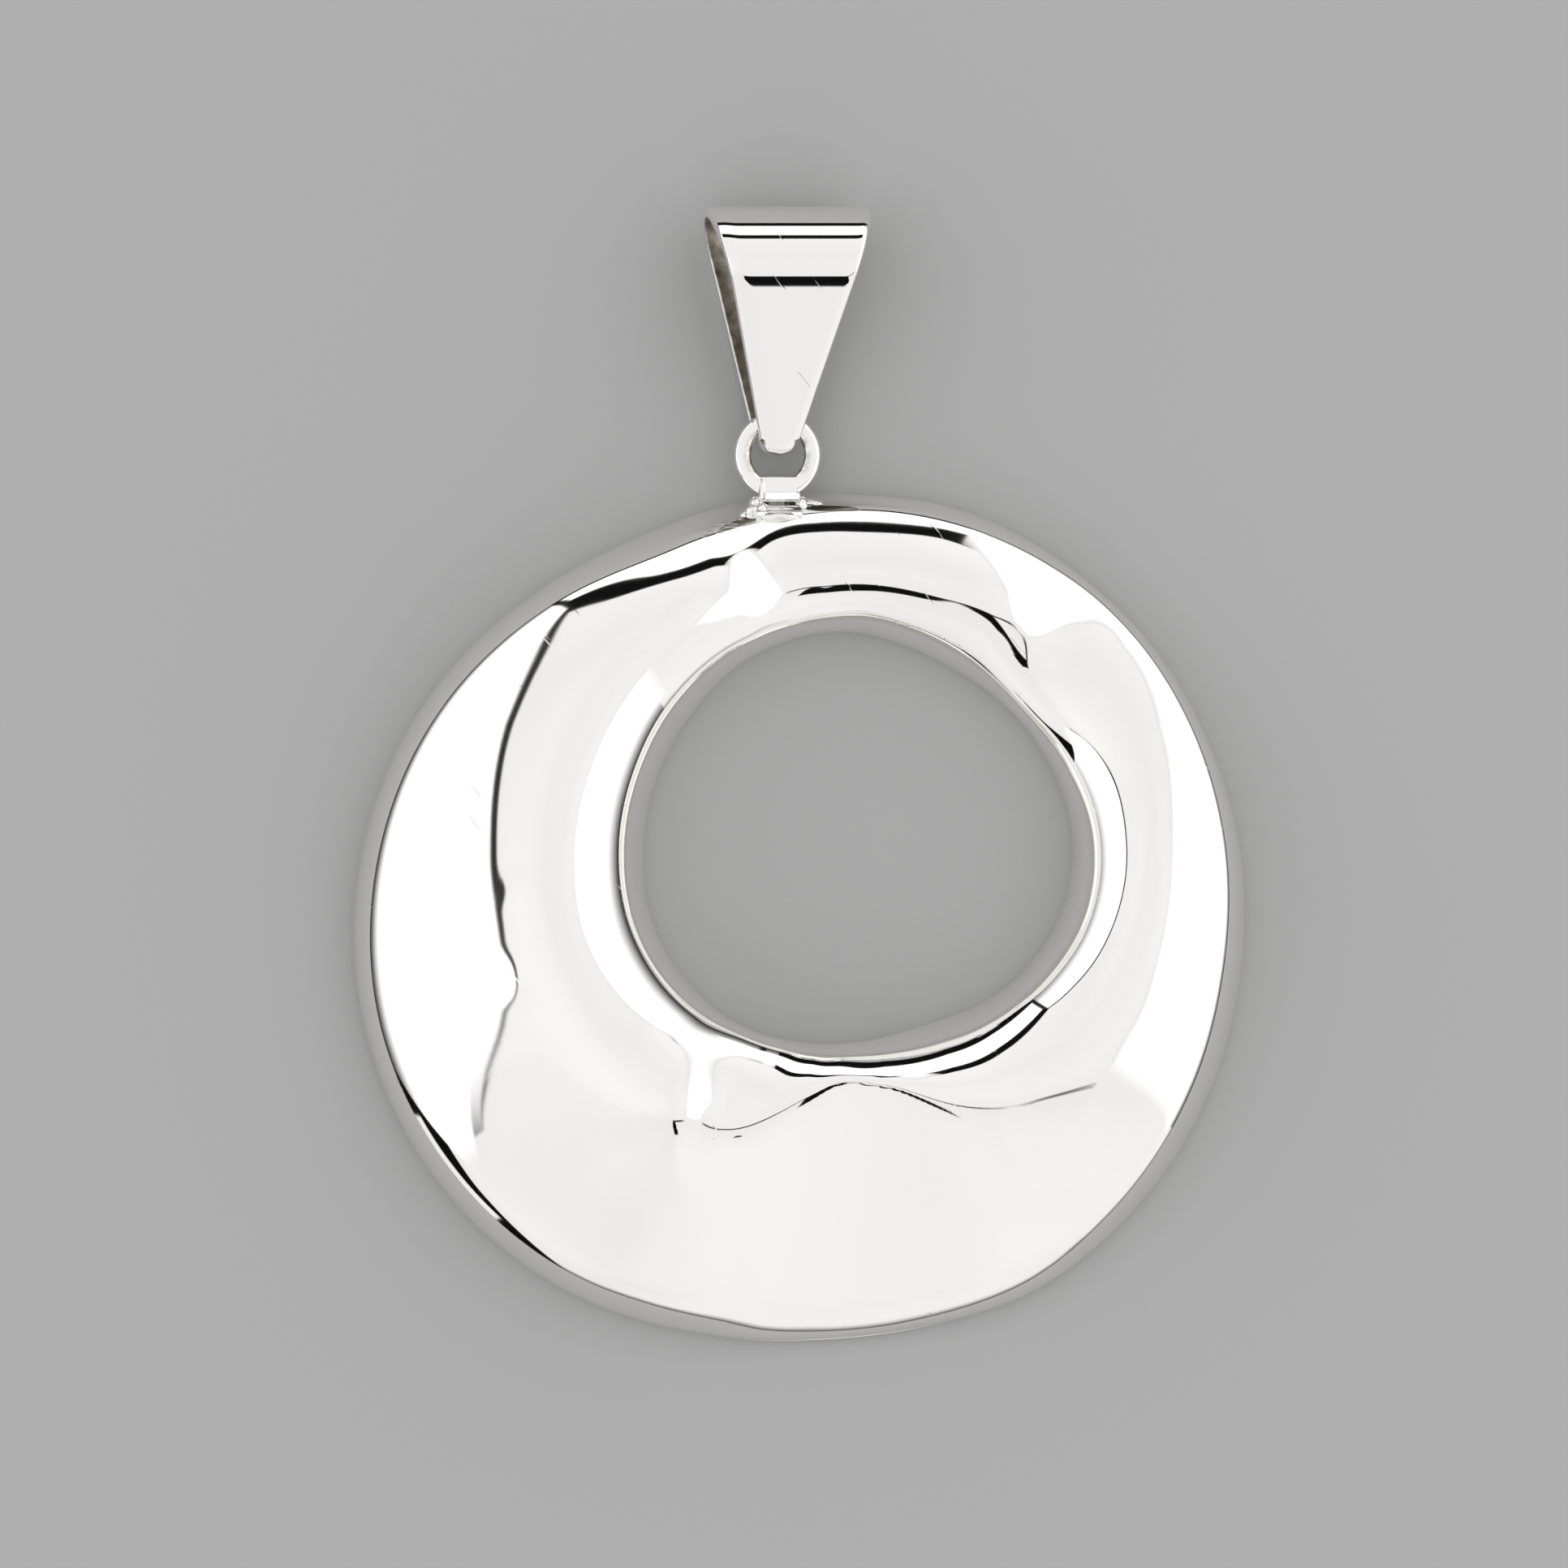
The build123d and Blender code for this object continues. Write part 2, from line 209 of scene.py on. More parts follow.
class PENDANT_PG_hanger(bpy.types.PropertyGroup):
    """Sizes of the soldered ring and its post"""

    wire: FloatProperty(name="Wire", description="Thickness of the ring's wire", default=0.98 * MM, unit="LENGTH")
    bore: FloatProperty(name="Bore", description="Inside the ring", default=2.98 * MM, unit="LENGTH")
    east: FloatProperty(name="East", description="Ring from the circle's centre, along X",
                        default=-1.28 * MM, unit="LENGTH")
    height: FloatProperty(name="Height", description="Middle of the wire above the floor",
                          default=1.9 * MM, unit="LENGTH")
    stand: FloatProperty(name="Stand", description="Ring's edge from the rim", default=-0.16 * MM, unit="LENGTH")
    post_foot: FloatProperty(name="Post foot", description="Underside of the post below the wire's middle",
                             default=0.44 * MM, unit="LENGTH")
    planished: FloatProperty(name="Planished", description="Squareness of the wire: 2 is round", default=2.9)


class PENDANT_PG_bail(bpy.types.PropertyGroup):
    """Sizes of the folded strip"""

    length: FloatProperty(name="Length", description="Tip to top of the fold", default=14.02 * MM, unit="LENGTH")
    width: FloatProperty(name="Width", description="Across the strip at the fold", default=9.2 * MM, unit="LENGTH")
    thickness: FloatProperty(name="Thickness", description="Of the strip", default=0.55 * MM, unit="LENGTH")
    fold_radius: FloatProperty(name="Fold radius", description="Outside of the fold", default=3.3 * MM,
                               unit="LENGTH")
    tip_width: FloatProperty(name="Tip width", description="Across the rounded tip", default=1.8 * MM,
                             unit="LENGTH")
    tip_east: FloatProperty(name="Tip east", description="Tip from the ring's centre, along X",
                            default=-0.08 * MM, unit="LENGTH")
    tip_drop: FloatProperty(name="Tip drop", description="Tip's end from the middle of the wire that it hangs on",
                            default=2.02 * MM, unit="LENGTH")
    clearance: FloatProperty(name="Clearance", description="Room round the ring's wire inside the tip",
                             default=0.47 * MM, unit="LENGTH")
    lean: FloatProperty(name="Lean", description="Turn of the strip towards +X", default=math.radians(1.6),
                        subtype="ANGLE")
    skew: FloatProperty(name="Skew", description="Sideways run of the strip for each unit of height",
                        default=0.16)
    ease: FloatProperty(name="Ease", description="How far the fold runs out into the front leg, each way",
                        default=0.6 * MM, unit="LENGTH")
    tip_square: FloatProperty(name="Tip square", description="How far the tip's front upper corner stands out",
                              default=0.16 * MM, unit="LENGTH")
    worn: FloatProperty(name="Worn", description="How far the buff has taken the edges down", default=0.11 * MM,
                        unit="LENGTH")
    worn_left: FloatProperty(name="Worn left", description="Width of the rounding along the left edge",
                             default=0.95 * MM, unit="LENGTH")
    worn_right: FloatProperty(name="Worn right", description="Width of the rounding along the right edge",
                              default=0.50 * MM, unit="LENGTH")


class PENDANT_PG_look(bpy.types.PropertyGroup):
    """Colours and finishes"""

    silver: StringProperty(name="Silver", description="Colour of polished silver, as sRGB hex", default="#F8F7F5")
    film: StringProperty(name="Film", description="Colour of the thin film inside the bail, as sRGB hex",
                         default="#DAD5CC")
    # This darker colour is also the painted shade, together with tarnish, inside the ring's bore.
    tarnish_and_shade: StringProperty(name="Tarnish", description="Colour of the thick film in the corners, as sRGB hex",
                            default="#8F8577")
    floor: StringProperty(name="Floor", description="Colour of the floor, as sRGB hex", default="#B0B0B0")
    backdrop: StringProperty(name="Backdrop", description="Grey that the camera sees past the floor, as sRGB hex",
                             default="#C8C8C8")
    dark: FloatProperty(name="Dark", description="Brightness between the soft boxes", default=0.004)
    under: FloatProperty(name="Under", description="Brightness from below, for looks at the back", default=0.7)
    cloud: FloatProperty(name="Cloud", description="Unevenness of the soft boxes, as a share", default=0.05)
    cloud_size: FloatProperty(name="Cloud size", description="Blots of unevenness for each unit of distance",
                              default=1.6)
    penumbra: FloatProperty(name="Penumbra", description="Softness of a soft box's edge, as a share of its distance",
                            default=0.012)


def linear(code):
    """The linear colour of an sRGB hex value."""
    parts = [int(code[k:k + 2], 16) / 255 for k in (1, 3, 5)]
    return [p / 12.92 if p <= 0.04045 else ((p + 0.055) / 1.055) ** 2.4 for p in parts] + [1.0]


def add(tree, kind, settings=None, **inputs):
    """Adds a node with its settings. Each input is a value, or the socket that is linked to it."""
    node = tree.nodes.new(kind)
    for name, value in (settings or {}).items():
        setattr(node, name, value)
    for name, value in inputs.items():
        socket = node.inputs[int(name[1:])] if name[0] == "_" else node.inputs[name.replace("_", " ")]
        if isinstance(value, bpy.types.NodeSocket):
            tree.links.new(value, socket)
        else:
            socket.default_value = value
    return node


def blank_material(name):
    """A material with an empty node tree, and that tree."""
    material = bpy.data.materials.new(name)
    material.use_nodes = True
    material.node_tree.nodes.clear()
    return material, material.node_tree


def polished_sterling(look, rubbed):
    """Sterling silver, buffed to a mirror: hard reflections, the faintest haze of the last polish in
    blots of 1.1 mm, a few slanting hairlines from wear, 11 mm long and 0.24 mm apart, and file strokes
    1.4 mm long and 0.15 mm apart left of the post, where it was rubbed."""
    material, tree = blank_material("polished sterling")
    place = add(tree, "ShaderNodeTexCoord").outputs["Object"]
    haze = add(tree, "ShaderNodeTexNoise", Vector=place, Scale=0.9 / MM, Detail=2.0)
    turned = add(tree, "ShaderNodeMapping", Vector=place, Rotation=(0.0, 0.0, 0.9))
    drawn = add(tree, "ShaderNodeMapping", Vector=turned.outputs[0], Scale=(0.09 / MM, 4.2 / MM, 0.9 / MM))
    lines = add(tree, "ShaderNodeTexNoise", Vector=drawn.outputs[0], Scale=1.0, Detail=1.0)
    hairlines = add(tree, "ShaderNodeMapRange", Value=lines.outputs["Fac"], _1=0.72, _2=0.78, _3=0.0, _4=0.18)
    reach = add(tree, "ShaderNodeVectorMath", {"operation": "DISTANCE"}, _0=place, _1=rubbed)
    patch = add(tree, "ShaderNodeMapRange", Value=reach.outputs["Value"], _1=1.0 * MM, _2=RUBBED_REACH,
                _3=1.0, _4=0.0)
    along = add(tree, "ShaderNodeMapping", Vector=place, Scale=(0.7 / MM, 6.5 / MM, 6.5 / MM))
    strokes = add(tree, "ShaderNodeTexNoise", Vector=along.outputs[0], Scale=1.0, Detail=1.0)
    cut = add(tree, "ShaderNodeMapRange", Value=strokes.outputs["Fac"], _1=0.56, _2=0.66)
    rubs = add(tree, "ShaderNodeMath", {"operation": "MULTIPLY"}, _0=patch.outputs[0], _1=cut.outputs[0])
    marks = add(tree, "ShaderNodeMath", {"operation": "ADD"}, _0=rubs.outputs[0], _1=hairlines.outputs[0])
    height = add(tree, "ShaderNodeMath", {"operation": "MULTIPLY_ADD"}, _0=haze.outputs["Fac"], _1=0.05,
                 _2=marks.outputs[0])
    bump = add(tree, "ShaderNodeBump", Height=height.outputs[0], Strength=0.35, Distance=0.02 * MM)
    shader = add(tree, "ShaderNodeBsdfPrincipled", Base_Color=linear(look.silver), Metallic=1.0,
                 Roughness=0.045, Normal=bump.outputs["Normal"])
    add(tree, "ShaderNodeOutputMaterial", Surface=shader.outputs["BSDF"])
    return material


def soldered_sterling(look, ring, bore_radius):
    """Sterling silver round a hand-made joint: less well buffed, with file marks 0.2 mm apart, and a
    dusky film of tarnish in flecks of 0.4 mm inside the ring, where the bail swings and no buff reaches,
    made darker there with painted shade on the wire's inner side."""
    material, tree = blank_material("soldered sterling")
    place = add(tree, "ShaderNodeTexCoord").outputs["Object"]
    # Inside the ring's bore, north of the post: tarnish, made darker with painted shade on the wire's inner side.
    reach = add(tree, "ShaderNodeVectorMath", {"operation": "DISTANCE"}, _0=place, _1=ring)
    inside = add(tree, "ShaderNodeMapRange", Value=reach.outputs["Value"], _1=bore_radius, _2=bore_radius + 0.55 * MM,
                 _3=1.0, _4=0.0)
    north = add(tree, "ShaderNodeSeparateXYZ", Vector=place).outputs["Y"]
    above = add(tree, "ShaderNodeMapRange", Value=north, _1=ring.y - 1.2 * MM, _2=ring.y - 0.9 * MM)
    inside = add(tree, "ShaderNodeMath", {"operation": "MULTIPLY"}, _0=inside.outputs[0], _1=above.outputs[0])
    film = add(tree, "ShaderNodeTexNoise", Vector=place, Scale=2.6 / MM, Detail=4.0, Roughness=0.65)
    flecks = add(tree, "ShaderNodeMapRange", Value=film.outputs["Fac"], _1=0.40, _2=0.58, _3=0.25, _4=1.0)
    tarnish_and_painted_shade = add(tree, "ShaderNodeMath", {"operation": "MULTIPLY"}, _0=inside.outputs[0], _1=flecks.outputs[0])
    # Silver goes towards the darker colour inside the ring: tarnish with painted shade.
    colour = add(tree, "ShaderNodeMix", {"data_type": "RGBA"}, _0=tarnish_and_painted_shade.outputs[0], _6=linear(look.silver),
                 _7=linear(look.tarnish_and_shade))
    along = add(tree, "ShaderNodeVectorMath", {"operation": "MULTIPLY"}, _0=place, _1=(0.25, 1.0, 1.0))
    marks = add(tree, "ShaderNodeTexNoise", Vector=along.outputs[0], Scale=5.0 / MM, Detail=2.0)
    bump = add(tree, "ShaderNodeBump", Height=marks.outputs["Fac"], Strength=0.08, Distance=0.03 * MM)
    shader = add(tree, "ShaderNodeBsdfPrincipled", Base_Color=colour.outputs[2], Metallic=1.0, Roughness=0.08,
                 Normal=bump.outputs["Normal"])
    add(tree, "ShaderNodeOutputMaterial", Surface=shader.outputs["BSDF"])
    return material


def tarnished_sterling(look):
    """Sterling silver where no buff reaches, inside the bail: a mottled brown-grey film of sulphide
    that dulls the reflections, in blots of 0.8 mm."""
    material, tree = blank_material("tarnished sterling")
    place = add(tree, "ShaderNodeTexCoord").outputs["Object"]
    blots = add(tree, "ShaderNodeTexNoise", Vector=place, Scale=1.3 / MM, Detail=5.0, Roughness=0.6)
    share = add(tree, "ShaderNodeMapRange", Value=blots.outputs["Fac"], _1=0.35, _2=0.68, _3=0.0, _4=1.0)
    colour = add(tree, "ShaderNodeMix", {"data_type": "RGBA"}, _0=share.outputs[0], _6=linear(look.film),
                 _7=linear(look.tarnish_and_shade))
    bump = add(tree, "ShaderNodeBump", Height=blots.outputs["Fac"], Strength=0.3, Distance=0.03 * MM)
    shader = add(tree, "ShaderNodeBsdfPrincipled", Base_Color=colour.outputs[2], Metallic=1.0, Roughness=0.3,
                 Normal=bump.outputs["Normal"])
    add(tree, "ShaderNodeOutputMaterial", Surface=shader.outputs["BSDF"])
    return material


def matt_paper(look):
    """Pale grey paper, matt. It is clear from below and where it touches the pendant, so that the
    light from below reaches the flat back and the back can be seen."""
    material, tree = blank_material("matt paper")
    sheet = add(tree, "ShaderNodeBsdfPrincipled", Base_Color=linear(look.floor), Roughness=0.9)
    below = add(tree, "ShaderNodeNewGeometry").outputs["Backfacing"]
    reach = add(tree, "ShaderNodeLightPath").outputs["Ray Length"]
    near = add(tree, "ShaderNodeMath", {"operation": "LESS_THAN"}, _0=reach, _1=TOUCHING)
    gone = add(tree, "ShaderNodeMath", {"operation": "MAXIMUM"}, _0=below, _1=near.outputs[0])
    clear = add(tree, "ShaderNodeBsdfTransparent")
    paper = add(tree, "ShaderNodeMixShader", _0=gone.outputs[0], _1=sheet.outputs["BSDF"],
                _2=clear.outputs["BSDF"])
    add(tree, "ShaderNodeOutputMaterial", Surface=paper.outputs["Shader"])
    return material


def finish_piece(mesh, name, material):
    """Makes the mesh a shown piece at the origin that rides on the pendant's one body."""
    data = bpy.data.meshes.new(name)
    mesh.to_mesh(data)
    mesh.free()
    for face in data.polygons:
        face.use_smooth = True
    piece = bpy.data.objects.new(name, data)
    bpy.context.scene.collection.objects.link(piece)
    data.materials.append(material)
    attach(piece, "root")
    return piece


def wrapped_skin(around, along, place):
    """A closed skin that is wrapped twice round: a grid whose point (j, k) goes to place[j, k]."""
    mesh = bmesh.new()
    bmesh.ops.create_grid(mesh, x_segments=around, y_segments=along, size=1.0)
    for vert in mesh.verts:
        j = round((vert.co.x + 1) / 2 * around) % around
        k = round((vert.co.y + 1) / 2 * along) % along
        vert.co = place[j, k]
    bmesh.ops.remove_doubles(mesh, verts=mesh.verts, dist=1e-8)
    bmesh.ops.recalc_face_normals(mesh, faces=mesh.faces)
    return mesh


def cubic(t, a, b, slope_a, slope_b):
    """A cubic from a to b with those slopes for each unit of t, which runs from 0 to 1."""
    return ((2 * t**3 - 3 * t**2 + 1) * a + (t**3 - 2 * t**2 + t) * slope_a
            + (3 * t**2 - 2 * t**3) * b + (t**3 - t**2) * slope_b)


def round_curve(angles, values, at, turn=0.0):
    """A smooth curve through values at those angles, closed over 360 degrees. After a full turn the
    value has grown by turn."""
    a = np.concatenate([angles[-2:] - 360, angles, angles[:3] + 360])
    v = np.concatenate([values[-2:] - turn, values, values[:3] + turn])
    step = np.diff(a)
    rise = np.diff(v) / step
    slope = np.zeros_like(v)
    slope[1:-1] = (step[:-1] * rise[1:] + step[1:] * rise[:-1]) / (step[:-1] + step[1:])
    k = np.clip(np.searchsorted(a, at, side="right") - 1, 1, len(a) - 3)
    return cubic((at - a[k]) / step[k], v[k], v[k + 1], slope[k] * step[k], slope[k + 1] * step[k])


def steady_curve(places, values, at):
    """A smooth curve through the values that doesn't swing past them."""
    step = np.diff(places)
    rise = np.diff(values) / step
    slope = np.zeros_like(values)
    slope[0], slope[-1] = rise[0], rise[-1]
    for k in range(1, len(values) - 1):
        if rise[k - 1] * rise[k] > 0:
            w, v = 2 * step[k] + step[k - 1], step[k] + 2 * step[k - 1]
            slope[k] = (w + v) / (w / rise[k - 1] + v / rise[k])
    k = np.clip(np.searchsorted(places, at, side="right") - 1, 0, len(values) - 2)
    return cubic((at - places[k]) / step[k], values[k], values[k + 1], slope[k] * step[k], slope[k + 1] * step[k])


def section(row, length, height, edge, across):
    """One closed section as (along from the rim, up), for a row of the table without its places."""
    crest, o45, outer, tilt_o, inner, tilt_i, i45 = row
    a, o, i, b = (length * share for share in (o45, outer, inner, i45))
    shoulder = a + SHOULDER_AT * (o - a)
    shoulder_tilt = tilt_o + SHOULDER_TILT * (RIM_TILT - tilt_o)
    knots = np.array([a, shoulder, o, i, b])
    slopes = np.tan(np.radians([RIM_TILT, shoulder_tilt, tilt_o, -tilt_i, -RIM_TILT]))
    fine = np.linspace(a, b, across * FINE + 1)
    slope = steady_curve(knots, slopes, fine)
    up = np.concatenate([[0], np.cumsum((slope[1:] + slope[:-1]) / 2 * np.diff(fine))])
    face_s, face_z = fine[::FINE], up[::FINE]
    round_o = a / (1 - math.sin(math.radians(RIM_TILT)))
    round_i = (length - b) / (1 - math.sin(math.radians(RIM_TILT)))
    t = np.radians(np.linspace(90, RIM_TILT, RIM_STEPS + 1))[:-1]
    drop = np.cos(np.radians(RIM_TILT)) - np.cos(t)
    rim_s, rim_z = round_o * (1 - np.sin(t)), face_z[0] - round_o * drop
    lip_s, lip_z = (length - round_i * (1 - np.sin(t)))[::-1], (face_z[-1] - round_i * drop)[::-1]
    s = np.concatenate([rim_s, face_s, lip_s])
    z = np.concatenate([rim_z, face_z, lip_z]) + height * crest - up.max()
    turn = np.radians(np.linspace(0, 90, FOOT_STEPS + 1))
    wall_i = np.linspace(z[-1], edge, WALL_STEPS + 2)[1:-1]
    wall_o = np.linspace(edge, z[0], WALL_STEPS + 2)[1:-1]
    foot_i_s, foot_i_z = length - edge + edge * np.cos(turn), edge - edge * np.sin(turn)
    foot_o_s, foot_o_z = (edge - edge * np.cos(turn))[::-1], (edge - edge * np.sin(turn))[::-1]
    s = np.concatenate([s, np.full(WALL_STEPS, length), foot_i_s, [length / 2], foot_o_s, np.zeros(WALL_STEPS)])
    z = np.concatenate([z, wall_i, foot_i_z, [0.0], foot_o_z, wall_o])
    return s, z


def dents(east, north):
    """How far the hammer marks lift the sheet at places given in shares of half the circle's width."""
    rise = np.zeros_like(east)
    for name, x, y, turn, ahead, behind, side, height, roundness in DENTS:
        c, s = math.cos(math.radians(turn)), math.sin(math.radians(turn))
        along, across = (east - x) * c + (north - y) * s, (north - y) * c - (east - x) * s
        along = np.abs(along / np.where(along > 0, ahead, behind))
        rise += height * np.clip(1 - along**roundness, 0, 1) ** 2 * np.clip(1 - (across / side) ** 2, 0, 1) ** 2
    return rise


def circle_skin(sizes):
    """Places of the puffed circle's skin about the circle's own centre, as [section, along, xyz]."""
    table = np.array(SECTIONS)
    at = np.arange(sizes.around) * 360 / sizes.around
    columns = [round_curve(table[:, 0], table[:, 1], at, turn=360.0)]
    columns += [round_curve(table[:, 0], values, at) for values in table.T[2:]]
    rim_at, hole, rim = columns[0], columns[1] * sizes.hole_width / 2, columns[2] * sizes.width / 2
    start = np.stack([rim * np.cos(np.radians(rim_at)), rim * np.sin(np.radians(rim_at))], 1)
    end = np.stack([sizes.hole_east + hole * np.cos(np.radians(at)),
                    sizes.hole_north + hole * np.sin(np.radians(at))], 1)
    length = np.linalg.norm(end - start, axis=1)
    way = (end - start) / length[:, None]
    places = []
    for j in range(sizes.around):
        s, z = section([c[j] for c in columns[3:]], length[j], sizes.height, sizes.edge_radius, sizes.across)
        places.append(np.column_stack([start[j] + s[:, None] * way[j], z]))
    places = np.array(places)
    face = slice(0, 2 * RIM_STEPS + sizes.across + 1)
    half = sizes.width / 2
    places[:, face, 2] += sizes.height * dents(places[:, face, 0] / half, places[:, face, 1] / half)
    return places


def circle_centre(places):
    """Where the circle's own centre lies in the frame: its west and south edges meet the CAD node's."""
    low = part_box("drop")[0]
    return Vector((low[0] - places[..., 0].min(), low[1] - places[..., 1].min(), 0.0))


class PENDANT_OT_circle(bpy.types.Operator):
    """Make the puffed open circle"""

    bl_idname = "pendant.circle"
    bl_label = "Open circle"

    def execute(self, context):
        scene = context.scene
        places = circle_skin(scene.pendant_circle)
        centre = circle_centre(places)
        places[..., 0] += centre.x
        places[..., 1] += centre.y
        mesh = wrapped_skin(places.shape[0], places.shape[1], places)
        silver = polished_sterling(scene.pendant_look, centre + RUBBED_SPOT)
        piece = finish_piece(mesh, "open_circle", silver)
        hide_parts("drop")
        return {"FINISHED"}


def ring_place(scene):
    """Middle of the hanging ring in the frame."""
    sizes, circle = scene.pendant_hanger, scene.pendant_circle
    places = circle_skin(circle)
    centre = circle_centre(places)
    edge = places[:, 0]
    north = edge[edge[:, 1] > 0]
    north = north[np.argsort(north[:, 0])]
    rim = np.interp(sizes.east, north[:, 0], north[:, 1])
    return Vector((centre.x + sizes.east, centre.y + rim + sizes.stand + sizes.bore / 2 + sizes.wire,
                   sizes.height))


def ring_wire(mesh, sizes):
    """The ring's wire, planished a little flat all round, about the mesh's middle."""
    ring_radius, half = (sizes.bore + sizes.wire) / 2, sizes.wire / 2
    stand = Matrix.Translation((ring_radius, 0, 0)) @ Matrix.Rotation(math.pi / 2, 4, "X")
    wire = bmesh.ops.create_circle(mesh, segments=40, radius=half, matrix=stand)
    for vert in wire["verts"]:
        side, up = (vert.co.x - ring_radius) / half, vert.co.z / half
        square = (abs(side) ** sizes.planished + abs(up) ** sizes.planished) ** (1 / sizes.planished)
        vert.co.x, vert.co.z = ring_radius + side / square * half, up / square * half
    bmesh.ops.spin(mesh, geom=wire["verts"] + mesh.edges[:], cent=(0, 0, 0), axis=(0, 0, 1), angle=2 * math.pi,
                   steps=120, use_merge=True)


def ring_post(mesh, foot):
    """The post, from its side view: drawn as one face, pulled across and then narrowed to its widths."""
    underside = [(POST[-1][0], -foot / MM), (POST[0][0], -foot / MM)]
    side_view = [(north, top) for north, half, east, top in POST] + underside
    left = [mesh.verts.new((-1, north * MM, up * MM)) for north, up in side_view]
    grown = bmesh.ops.extrude_face_region(mesh, geom=[mesh.faces.new(left)])
    right = [item for item in grown["geom"] if isinstance(item, bmesh.types.BMVert)]
    bmesh.ops.translate(mesh, verts=right, vec=(2, 0, 0))
    north, half, east = np.array(POST)[::-1].T[:3]
    for vert in left + right:
        at = vert.co.y / MM
        vert.co.x = (vert.co.x * np.interp(at, north, half) + np.interp(at, north, east)) * MM
    edges = {edge for vert in left for edge in vert.link_edges if edge.other_vert(vert) in left}
    edges |= {edge for vert in right for edge in vert.link_edges if edge.other_vert(vert) in right}
    bmesh.ops.bevel(mesh, geom=list(edges), offset=POST_EDGE, affect="EDGES", segments=2, profile=0.5, material=-1)


class PENDANT_OT_hanger(bpy.types.Operator):
    """Make the hanging ring and the flared post that it is soldered on"""

    bl_idname = "pendant.hanger"
    bl_label = "Ring and post"

    def execute(self, context):
        scene = context.scene
        sizes = scene.pendant_hanger
        middle = ring_place(scene)
        mesh = bmesh.new()
        ring_wire(mesh, sizes)
        ring_post(mesh, sizes.post_foot)
        for name, east, north, up, *reach in SOLDER_BEADS:
            bead = bmesh.ops.create_uvsphere(mesh, u_segments=20, v_segments=12, radius=MM)
            bmesh.ops.scale(mesh, verts=bead["verts"], vec=reach)
            bmesh.ops.translate(mesh, verts=bead["verts"], vec=Vector((east, north, up)) * MM)
        bmesh.ops.translate(mesh, verts=mesh.verts, vec=middle)
        bmesh.ops.recalc_face_normals(mesh, faces=mesh.faces)
        silver = soldered_sterling(scene.pendant_look, middle, sizes.bore / 2)
        piece = finish_piece(mesh, "soldered_hanger", silver)
        fuse = piece.modifiers.new("fuse", "REMESH")
        fuse.mode, fuse.voxel_size, fuse.use_smooth_shade = "VOXEL", FUSE_SIZE, True
        flow = piece.modifiers.new("flow", "SMOOTH")
        flow.factor, flow.iterations = 0.5, 6
        return {"FINISHED"}


def unit(angle):
    """The unit vector in that direction."""
    return np.array([math.cos(angle), math.sin(angle)])


def bail_loop(sizes, nose, nose_radius, fold):
    """The loop's side view as (centre, radius, direction) of its outer skin's points, once round. The
    fold runs out softly into the front leg, and the tip's front is a little squarer than round."""
    way = fold - nose
    rise = math.atan2(way[1], way[0])
    taper = math.asin((sizes.fold_radius - nose_radius) / np.linalg.norm(way))
    front, back = rise + taper + math.pi / 2, rise - taper - math.pi / 2
    ease, bend = sizes.ease, sizes.fold_radius
    loop = []
    for t in np.linspace(front - ease / bend, back, FOLD_STEPS, endpoint=False):
        loop.append((fold, bend, t))
    for t in np.linspace(0, 1, LEG_STEPS, endpoint=False):
        loop.append((fold + (nose - fold) * t, bend + (nose_radius - bend) * t, back))
    for t in np.linspace(back, front - 2 * math.pi, TIP_STEPS, endpoint=False):
        square = max(1 - ((math.degrees(t) - TIP_CORNER_AT) / TIP_CORNER_REACH) ** 2, 0) ** 2
        loop.append((nose + sizes.tip_square * square * unit(t), nose_radius, t))
    eased, angles = [fold + bend * unit(front - ease / bend)], []
    for spot in np.linspace(-ease, ease, EASE_STEPS):
        angles.append(front - (ease - spot) ** 2 / (4 * ease * bend))
        eased.append(eased[-1] + 2 * ease / EASE_STEPS * unit(angles[-1] + math.pi / 2))
    start = nose + nose_radius * unit(front)
    for t in np.linspace(0, 1, LEG_STEPS, endpoint=False):
        loop.append((start + (eased[-1] - start) * t - bend * unit(front), bend, front))
    for point, angle in list(zip(eased[1:], angles))[::-1]:
        loop.append((point - bend * unit(angle), bend, angle))
    return loop


def strip_section(thickness):
    """The strip's cross section as (side, inset from the half width, depth), once round."""
    corner = STRIP_CORNER
    turn = np.radians(np.linspace(0, 90, 6))
    flat = np.sin(np.linspace(-math.pi / 2, math.pi / 2, STRIP_STEPS))[1:-1]
    cross = [(c, 0.0, 0.0) for c in flat]
    cross += [(1, corner - corner * math.sin(t), corner - corner * math.cos(t)) for t in turn]
    cross += [(1, corner - corner * math.cos(t), thickness - corner + corner * math.sin(t)) for t in turn]
    cross += [(c, 0.0, thickness) for c in flat[::-1]]
    cross += [(-1, corner - corner * math.sin(t), thickness - corner + corner * math.cos(t)) for t in turn]
    cross += [(-1, corner - corner * math.cos(t), corner - corner * math.sin(t)) for t in turn]
    return cross


def strip_half_width(along, sizes):
    """Half the strip's width at a distance from its tip, which is rounded."""
    half_tip, half_fold = sizes.tip_width / 2, sizes.width / 2
    if along < half_tip:
        return half_tip * max(1 - (1 - along / half_tip) ** TIP_ROUND, 0.1) ** (1 / TIP_ROUND)
    return half_tip + (half_fold - half_tip) * along / sizes.length


